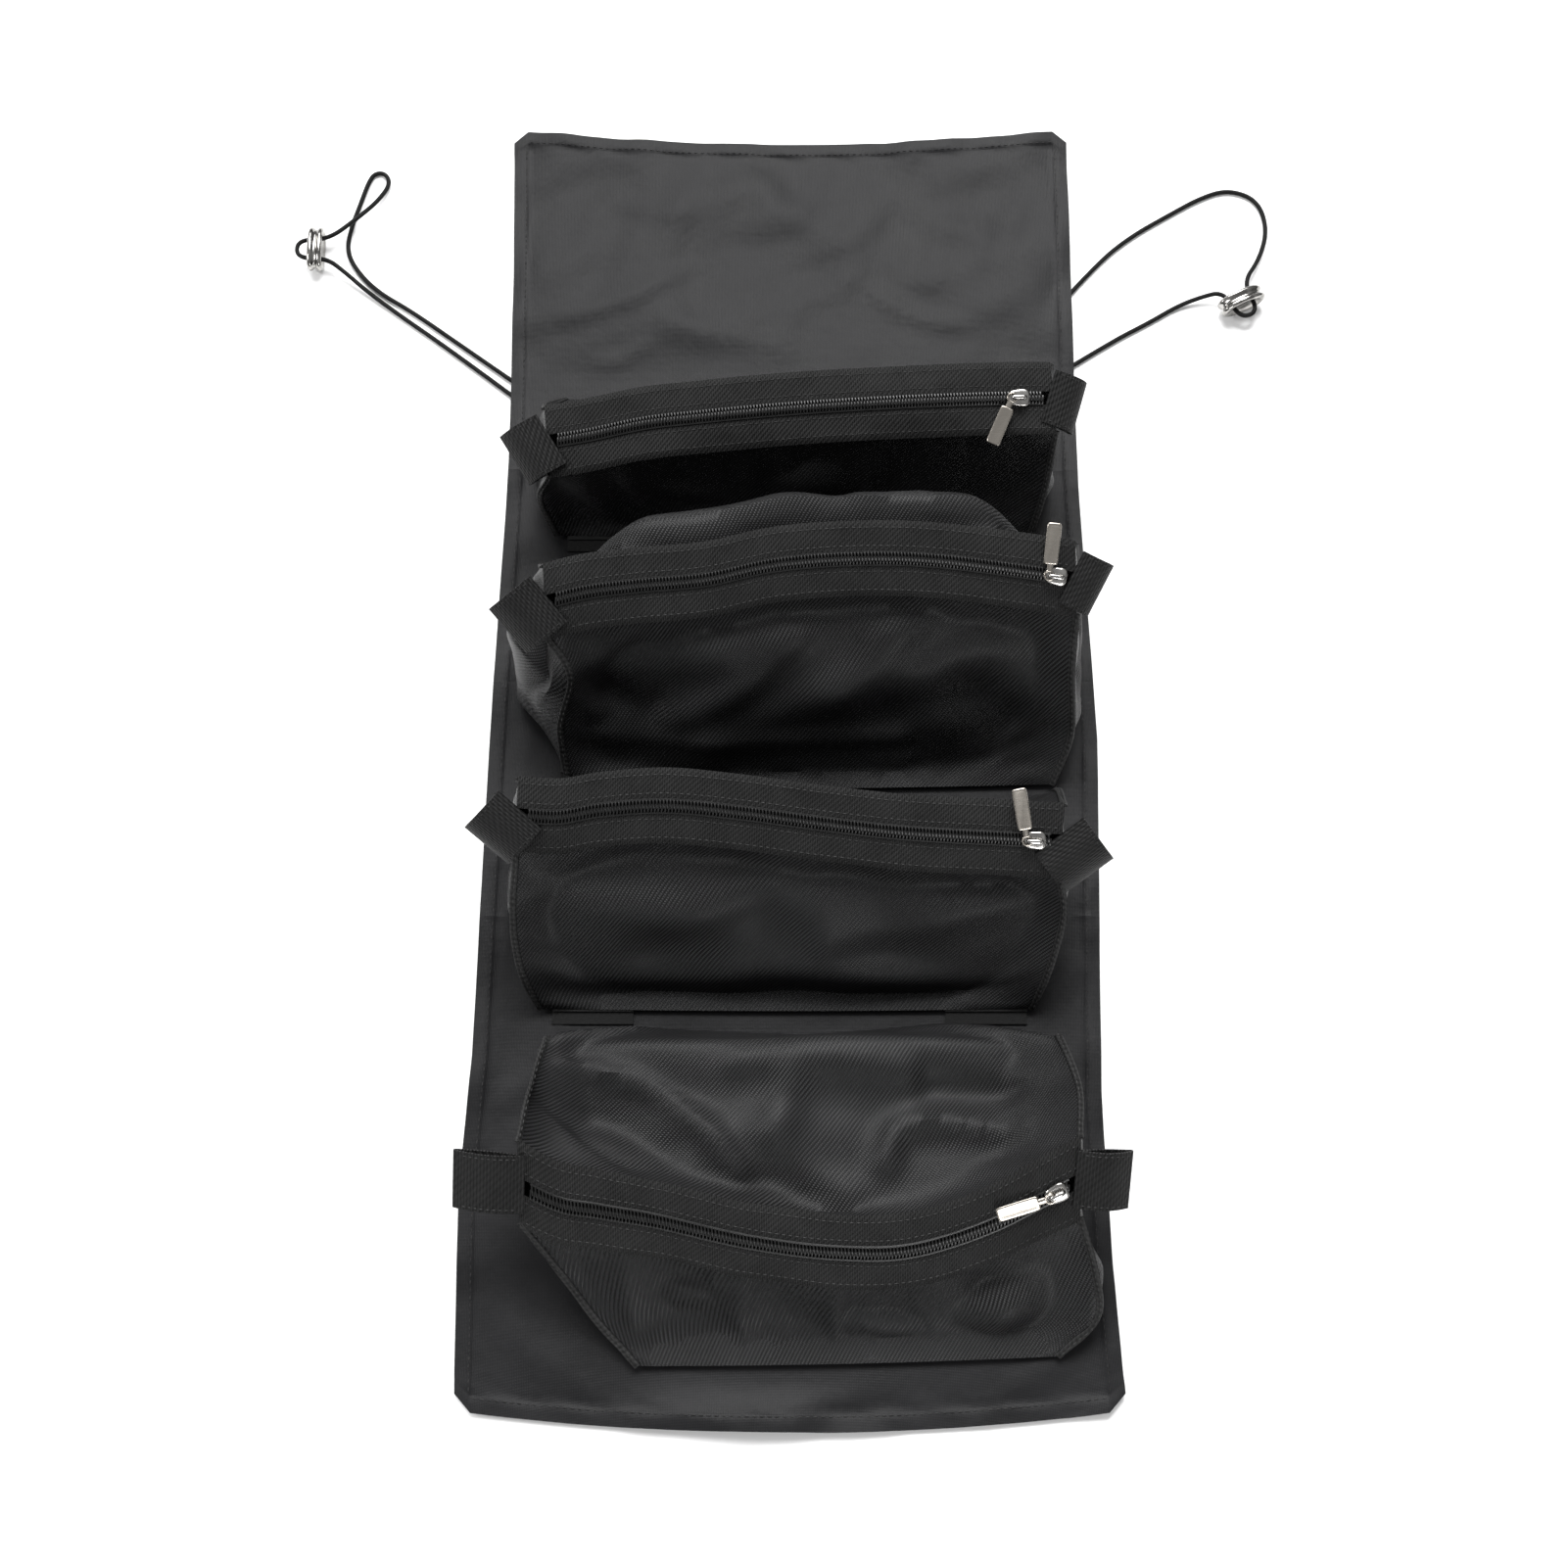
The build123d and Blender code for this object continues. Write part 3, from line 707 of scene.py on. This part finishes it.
def ridge_wall(p, grid):
    """A back wall that stands up to a soft ridge and then runs forward to the zip."""
    rows, columns = grid.shape[:2]
    s = np.linspace(-1, 1, columns)[:, None]
    if p.number == 2:
        ridge = grid[-1] + (0, 20, 9) * (1 - smooth(np.abs(s), 0.6, 1.0))
        low = grid[0] + (0, 3, 45) * (1 - s**6) + (0, 9, 0) * (1 - s**2)
        lines = [grid[0], low, ridge - (0, -1, 8), ridge, grid[-1]]
        at = [0, 0.4, 0.8, 0.87, 1]
    else:
        crest = grid[0] * (1, 0, 0) + (0, 153, 36) + (0, 2, 13) * (1 - s**2)
        dip = (crest + grid[-1]) / 2 + (0, 0, -3.0)
        lines = [grid[0], crest - (0, -2, 9), crest, dip, grid[-1]]
        at = [0, 0.22, 0.32, 0.66, 1]
    t = np.linspace(0, 1, rows)
    stack = np.stack(lines)
    shaped = np.empty_like(grid)
    for column in range(columns):
        for axis in range(3):
            shaped[:, column, axis] = np.interp(t, at, stack[:, column, axis])
    for _ in range(2):
        shaped[1:-1] = (shaped[:-2] + 2 * shaped[1:-1] + shaped[2:]) / 4
    edge = np.clip((np.abs(s) - 0.9) / 0.1, 0, 1)[None] ** 2
    return shaped * (1 - edge) + grid * edge


FRAMES = 28
FARTHEST_SAG = 11.0


def settle(grids, slack):
    """Let sheets sewn along all four sides sag and wrinkle under their own weight."""
    objects = []
    for n, (grid, loose) in enumerate(zip(grids, slack)):
        rows, columns = grid.shape[:2]
        index = np.arange(rows * columns).reshape(rows, columns)
        faces = np.stack([index[:-1, :-1], index[:-1, 1:], index[1:, 1:], index[1:, :-1]], 2)
        mesh = bpy.data.meshes.new(f"settling_{n}")
        mesh.from_pydata((grid.reshape(-1, 3) * MM).tolist(), [], faces.reshape(-1, 4).tolist())
        sheet = bpy.data.objects.new(f"settling_{n}", mesh)
        bpy.context.collection.objects.link(sheet)
        border = np.unique(np.r_[index[0], index[-1], index[:, 0], index[:, -1]])
        sheet.vertex_groups.new(name="seam").add(border.tolist(), 1.0, "REPLACE")
        cloth = sheet.modifiers.new("cloth", "CLOTH")
        cloth.settings.quality = 7
        cloth.settings.mass = 0.12
        cloth.settings.tension_stiffness = 12
        cloth.settings.compression_stiffness = 6
        cloth.settings.shear_stiffness = 3
        cloth.settings.bending_stiffness = 0.08
        cloth.settings.vertex_group_mass = "seam"
        cloth.settings.shrink_min = -loose
        cloth.settings.shrink_max = -loose
        cloth.collision_settings.use_collision = False
        cloth.point_cache.frame_end = FRAMES
        objects.append(sheet)
    for step in range(1, FRAMES + 1):
        bpy.context.scene.frame_set(step)
    graph = bpy.context.evaluated_depsgraph_get()
    settled = []
    for sheet, grid in zip(objects, grids):
        mesh = sheet.evaluated_get(graph).to_mesh()
        points = np.empty(len(mesh.vertices) * 3)
        mesh.vertices.foreach_get("co", points)
        move = points.reshape(grid.shape) / MM - grid
        for _ in range(2):
            move[1:-1, 1:-1] = (
                move[1:-1, 1:-1] * 2 + move[:-2, 1:-1] + move[2:, 1:-1] + move[1:-1, :-2] + move[1:-1, 2:]
            ) / 6
        size = np.linalg.norm(move, axis=2, keepdims=True)
        settled.append(grid + move * np.minimum(1, FARTHEST_SAG / np.maximum(size, 1e-9)))
        sheet.evaluated_get(graph).to_mesh_clear()
    for sheet in objects:
        mesh = sheet.data
        bpy.data.objects.remove(sheet)
        bpy.data.meshes.remove(mesh)
    bpy.context.scene.frame_set(1)
    return settled


names = ("front", "back", "left", "right")
shapes = [pouch_walls(p) for p in pouches]
loose = {"front": 0.035, "back": 0.045, "left": 0.05, "right": 0.05}
flat = [shape[name] for shape in shapes for name in names]
settled = settle(flat, [loose[name] for _ in shapes for name in names])
for n, shape in enumerate(shapes):
    for m, name in enumerate(names):
        shape[name] = settled[4 * n + m]

MESH_THICKNESS = 0.5


def seam(piece, path, normals):
    """A bound seam: a narrow folded tape with a line of stitches along it."""
    piece.tube(path + normals * 0.3, 3.2, 1.5, normals, "zip_tape")
    piece.stitches(path + normals * 1.05, normals)


def build_pouch(p, walls):
    """The mesh walls of one pouch, its bottom and its seams."""
    body = f"pouch_{p.number}"
    for face in ("front", "back"):
        piece = Piece(f"{face}_mesh_{p.number}")
        piece.slab(walls[face], MESH_THICKNESS, "mesh")
        out = grid_normals(walls[face])
        for column in (0, -1):
            seam(piece, walls[face][:, column], out[:, column])
        made = piece.build()
        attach(made, body)
        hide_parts(f"{face}_wall_{p.number}")
    piece = Piece(f"gusset_mesh_{p.number}")
    for end in ("left", "right"):
        piece.slab(walls[end], MESH_THICKNESS, "mesh")
    front, back = walls["front"][0], walls["back"][0][::-1]
    t = np.linspace(0, 1, 24)[:, None, None]
    bottom = front[None] * (1 - t) + back[None] * t
    piece.slab(bottom, MESH_THICKNESS, "mesh")
    made = piece.build()
    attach(made, body)
    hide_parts(f"gusset_{p.number}")


def build_tapes(p):
    """The zip's two tapes, each with two rows of stitches."""
    for name, side in (("front", -1), ("back", 1)):
        along = np.linspace(-TAPE_HALF, TAPE_HALF, 120)[None, :]
        across = side * np.array([3.0, 3.8, 5, 7, 9, 11, 13, 14.6, 15.6, TAPE_EDGE])[:, None]
        if side < 0:
            across = across[::-1]
        edge_roll = -0.9 * smooth(np.abs(across), 14.4, TAPE_EDGE)
        lift = band_wave(p, along, across) + edge_roll + 0.4
        grid = band_point(p, along, across, lift)
        piece = Piece(f"tape_{name}_{p.number}_cloth")
        piece.slab(grid, 0.9, "zip_tape")
        fine = np.linspace(-TAPE_HALF + 1, TAPE_HALF - 1, 200)
        for place in (5.6, 13.6):
            line = np.full_like(fine, side * place)
            path = band_point(p, fine, line, band_wave(p, fine, line) + 0.48)
            out = np.tile(band_axes(p)[2], (len(fine), 1))
            piece.stitches(path, out, pitch=2.9, length=2.1, radius=0.27)
        made = piece.build()
        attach(made, f"pouch_{p.number}")
        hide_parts(f"tape_{name}_{p.number}")


TOOTH_PITCH = 1.45


# One turn of a coil: across the chain, along it, and out of it.
COIL_TURN = (3.1, -0.25, 0.4), (1.9, -0.1, 1.25), (0.3, 0.1, 1.35), (-0.9, 0.2, 0.8)


def build_coil(p):
    """The closed chain: slanted teeth from both sides, and the cord down each side."""
    piece = Piece(f"coil_{p.number}_chain")
    _, _, out, _ = band_axes(p)
    angle = np.arange(6) * math.pi / 3
    for side in (-1, 1):
        first = -111 + (side + 1) * TOOTH_PITCH / 4
        for along in np.arange(first, 111, TOOTH_PITCH):
            path = []
            for across, slant, lift in COIL_TURN:
                place = (np.float64(v) for v in (along + slant, side * across, lift))
                path.append(band_point(p, *place))
            path = np.array(path)
            piece.tube(path, 1.0, 1.0, np.tile(out, (4, 1)), "zip_coil", 6)
        along = np.linspace(-111, 111, 110)
        rope = band_point(p, along, np.full(110, side * 2.9), np.full(110, 0.6))
        piece.tube(rope, 1.1, 1.1, np.tile(out, (110, 1)), "zip_coil", 6)
    made = piece.build()
    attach(made, f"pouch_{p.number}")
    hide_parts(f"coil_{p.number}")


def build_tab(p, side, name, long, droop, swing):
    """A webbing tab: one strap folded back on itself, drooping from the end seam."""
    _, up, out, _ = band_axes(p)
    turn_down = math.radians(swing)
    away = np.array([side * math.cos(turn_down), 0, 0]) - up * math.sin(turn_down)
    wide = up * math.cos(turn_down) + np.array([side * math.sin(turn_down), 0, 0])
    root = band_point(p, np.float64(side * (TAPE_HALF + 0.5)), np.float64(0), np.float64(0.3))
    steps = 26
    straight = np.linspace(-3, long, steps)
    gap = 1.3 + 1.6 * np.sin(np.clip(straight / long, 0, 1) * math.pi)
    turn = np.linspace(math.pi / 2, -math.pi / 2, 9)[1:-1]
    flat = [*zip(straight, gap), *zip(long + 1.3 * np.cos(turn), 1.3 * np.sin(turn)),
            *zip(straight[::-1], -gap[::-1])]
    bend = math.radians(droop)
    path = []
    for reach, lift in flat:
        angle = bend * np.clip(reach, 0, None) / long
        radius = long / bend
        x = radius * math.sin(angle) + lift * math.sin(angle)
        z = -radius * (1 - math.cos(angle)) + lift * math.cos(angle)
        if reach < 0:
            x, z = reach, lift
        path.append(root + away * x + out * z)
    path = np.array(path)
    width = np.linspace(-12.5, 12.5, 9)
    grid = path[None] + width[:, None, None] * wide
    if side < 0:
        grid = grid[::-1]
    piece = Piece(f"tab_{name}_{p.number}_webbing")
    piece.slab(grid, 1.1, "webbing")
    for place in (-11, 11):
        line = path[2:steps - 1] + wide * place + out * 0.1
        piece.stitches(line, np.tile(out, (len(line), 1)), pitch=2.6, length=1.8, radius=0.25)
    made = piece.build()
    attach(made, f"pouch_{p.number}")
    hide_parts(f"tab_{name}_{p.number}")


def build_patches(kind, number, body):
    """Hook or loop patches: two low pads whose tops are rough with pile."""
    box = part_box(f"{kind}_patches_{number}")
    low, high = (np.array(corner) / MM + (0, PANEL_MIDDLE, 0) for corner in box)
    piece = Piece(f"{kind}_pads_{number}")
    for left in (low[0], high[0] - 36):
        x = np.linspace(left, left + 36, 40)[None, :]
        y = np.linspace(low[1], high[1], 28)[:, None]
        z = high[2] - 0.15 + 0.15 * ripple(x, y, number, 2.2)
        grid = np.stack(np.broadcast_arrays(x, y, z), axis=-1)
        piece.slab(grid, 0.8, f"{kind}_pile")
    made = piece.build()
    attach(made, body)
    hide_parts(f"{kind}_patches_{number}")


for pouch, shape in zip(pouches, shapes):
    number = pouch.number
    build_pouch(pouch, shape)
    build_tapes(pouch)
    build_coil(pouch)
    build_tab(pouch, -1, "left", pouch.tabs[0], pouch.droop[0], pouch.swing[0])
    build_tab(pouch, 1, "right", pouch.tabs[1], pouch.droop[1], pouch.swing[1])
    build_patches("hook", number, f"pouch_{number}")
    build_patches("loop", number, "panel_upper" if number == 1 else f"panel_{number}")


# ---- cords ------------------------------------------------------------------------------
# The CAD model's routes, in metres from the frame's origin, with both ends carried on
# 11 to 15 mm further, under the panel.
left_route = [
    (-0.1318, 0.166, 0.0014), (-0.166, 0.1935, 0.0012), (-0.1905, 0.2118, 0.0013),
    (-0.208, 0.2253, 0.0022), (-0.2195, 0.2352, 0.0044), (-0.2285, 0.24175, 0.0066),
    (-0.2435, 0.2418, 0.0066), (-0.2435, 0.2523, 0.0066), (-0.2285, 0.25225, 0.0066),
    (-0.215, 0.2645, 0.0063), (-0.206, 0.276, 0.0034), (-0.2003, 0.2875, 0.0014),
    (-0.203, 0.294, 0.0012), (-0.2087, 0.2942, 0.0012), (-0.2118, 0.2875, 0.0012),
    (-0.215, 0.275, 0.0012), (-0.2188, 0.2615, 0.0012), (-0.2198, 0.2478, 0.0012),
    (-0.2125, 0.2355, 0.0012), (-0.202, 0.225, 0.0012), (-0.186, 0.215, 0.0012),
    (-0.1635, 0.198, 0.0012), (-0.1318, 0.174, 0.0014),
]
right_route = [
    (0.132, 0.2165, 0.0014), (0.1525, 0.2415, 0.0012), (0.17, 0.257, 0.0012),
    (0.189, 0.269, 0.0012), (0.207, 0.28, 0.0012), (0.221, 0.2845, 0.0012),
    (0.235, 0.2785, 0.0012), (0.239, 0.262, 0.0013), (0.2335, 0.2435, 0.0032),
    (0.2234, 0.2276, 0.0066), (0.2306, 0.2122, 0.0066), (0.221, 0.20775, 0.0066),
    (0.2139, 0.223, 0.0066), (0.2025, 0.2215, 0.0034), (0.191, 0.2175, 0.0013),
    (0.177, 0.2085, 0.0012), (0.159, 0.1985, 0.0012), (0.132, 0.1803, 0.0014),
]


def build_cord(name, route, node, body):
    """An elastic cord that leaves the panel's edge, runs through its stop and returns."""
    curve = bpy.data.curves.new(name, "CURVE")
    curve.dimensions, curve.resolution_u = "3D", 10
    curve.bevel_depth, curve.bevel_resolution = CORD_DIAMETER / 2, 4
    spline = curve.splines.new("NURBS")
    spline.points.add(len(route) - 1)
    for point, place in zip(spline.points, route):
        point.co = (*place, 1)
    spline.order_u = 3
    spline.use_endpoint_u = True
    curve.materials.append(materials["elastic_cord"])
    made = bpy.data.objects.new(name, curve)
    bpy.context.collection.objects.link(made)
    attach(made, body)
    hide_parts(node)


def oval(half_long, half_wide, square, count=40):
    """Points round an oval that is a little square, as (long, wide) pairs."""
    angle = np.arange(count) * 2 * math.pi / count
    c, s = np.cos(angle), np.sin(angle)
    return np.stack([half_long * np.sign(c) * np.abs(c) ** square,
                     half_wide * np.sign(s) * np.abs(s) ** square], 1)


def slider_frame(p):
    """The slider's middle and its directions: along the chain, across it and out of it."""
    along = np.array([p.rest - 0.5, p.rest, p.rest + 0.5])
    before, place, after = band_point(p, along, np.zeros(3))
    x = (after - before) / np.linalg.norm(after - before)
    z = band_axes(p)[2]
    return place, x, np.cross(z, x), z


# A puller's rounded edge, as (height, inset), and the crown's arch, as (along, height).
PULLER_EDGE = (
    (2.8, 0.5), (2.95, 0.15), (3.25, 0.0), (3.5, 0.0), (3.78, 0.18), (3.9, 0.6), (3.8, 1.3),
)
CROWN_ARCH = [
    (-3.15, 2.3), (-3.15, 4.1), (-2.3, 4.9), (0, 5.0), (2.3, 4.85), (3.3, 3.9), (3.5, 2.3),
]


def build_puller(p):
    """The pull: a flat bar with softened edges, a neck and a round eye on the crown's leg."""
    place, x, y, z = slider_frame(p)
    turn = math.radians(p.puller)
    eye = place - 3.15 * x
    bar, side = x * math.cos(turn) + y * math.sin(turn), y * math.cos(turn) - x * math.sin(turn)
    piece = Piece(f"puller_{p.number}_metal")
    rings = []
    for height, inset in PULLER_EDGE:
        edge = oval(9.1 - inset, 3.2 - inset, 0.22)
        rings.append(eye + (edge[:, :1] - 13.9) * bar + edge[:, 1:] * side + height * z)
    piece.loft(np.array(rings), "puller_metal")
    neck = np.linspace(-6.0, -2.2, 5)[:, None] * bar + eye + 3.35 * z
    piece.tube(neck, 2.6, 1.0, np.tile(z, (5, 1)), "puller_metal", 12)
    angle = np.linspace(0, 2 * math.pi, 33)
    hoop = eye + 2.0 * (np.cos(angle)[:, None] * bar + np.sin(angle)[:, None] * side) + 3.35 * z
    piece.tube(hoop, 1.1, 1.0, np.tile(z, (33, 1)), "puller_metal", 10)
    made = piece.build()
    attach(made, f"puller_{p.number}")
    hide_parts(f"puller_{p.number}")


def build_slider(p):
    """The zip's slider: two plates with rolled edges and a crown bent over the top one."""
    place, x, y, z = slider_frame(p)
    piece = Piece(f"slider_{p.number}_metal")
    for side in (1, -1):
        rings = []
        for height, inset in ((0.7, 0.35), (0.75, 0.0), (1.7, 0.0), (2.15, 0.2), (2.4, 0.7), (2.5, 1.5)):
            edge = oval(5 - inset, 4.4 - inset, 0.62)
            edge[:, 1] *= 1 - 0.022 * (5 - edge[:, 0])
            rings.append(place + edge[:, :1] * x + edge[:, 1:] * y + side * height * z)
        rings = np.array(rings)
        piece.loft(rings if side > 0 else rings[:, ::-1], "slider_metal")
    arch = curve_through(CROWN_ARCH, 40)
    path = place + arch[:, :1] * x + arch[:, 1:] * z
    along = np.gradient(arch, axis=0)
    along /= np.linalg.norm(along, axis=1, keepdims=True)
    out = -along[:, 1:] * x + along[:, :1] * z
    piece.tube(path, 1.9, 0.8, out, "slider_metal", 12)
    made = piece.build()
    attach(made, f"slider_{p.number}")
    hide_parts(f"slider_{p.number}")


def build_stop(name, centre, long_way, hole_way, body):
    """A cord stop: an oval bead with a groove round its rim and a dished face each side."""
    long_way, hole_way = (np.array([*v, 0.0]) / math.hypot(*v) for v in (long_way, hole_way))
    tall = np.array([0, 0, 1.0])
    half = [(-2.6, 4.3), (-2.9, 3.4), (-3.5, 2.3), (-3.65, 1.5), (-3.4, 0.7), (-2.8, 0.1),
            (-2.1, 0.0), (-1.4, 0.3), (-0.8, 1.0), (-0.3, 1.3)]
    rings = []
    for depth, inset in half + [(-d, i) for d, i in half[::-1]]:
        edge = oval(11.75 - inset, 6.4 - inset, 0.92)
        rings.append(np.array(centre) + edge[:, :1] * long_way + edge[:, 1:] * tall + depth * hole_way)
    rings = np.array(rings)
    turned = np.dot(np.cross(long_way, tall), hole_way) > 0
    piece = Piece(f"{name}_metal")
    piece.loft(rings if turned else rings[:, ::-1], "stop_metal")
    made = piece.build()
    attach(made, body)
    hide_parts(name)
    return made


for pouch in pouches:
    build_slider(pouch)
    build_puller(pouch)
left_stop = build_stop("cord_stop_left", (-234, 557, 6.6), (0, 1), (-1, 0), "panel_upper")
right_stop = build_stop("cord_stop_right", (222.2, 527.7, 6.6), (0.906, 0.423), (0.423, -0.906), "flap")
build_cord("cord_left_braid", left_route, "cord_left", "panel_upper")
build_cord("cord_right_braid", right_route, "cord_right", "flap")


# ---- floor ------------------------------------------------------------------------------
bpy.ops.mesh.primitive_plane_add(size=6)
floor = bpy.context.object
floor.name = "floor"
floor.data.materials.append(materials["floor"])
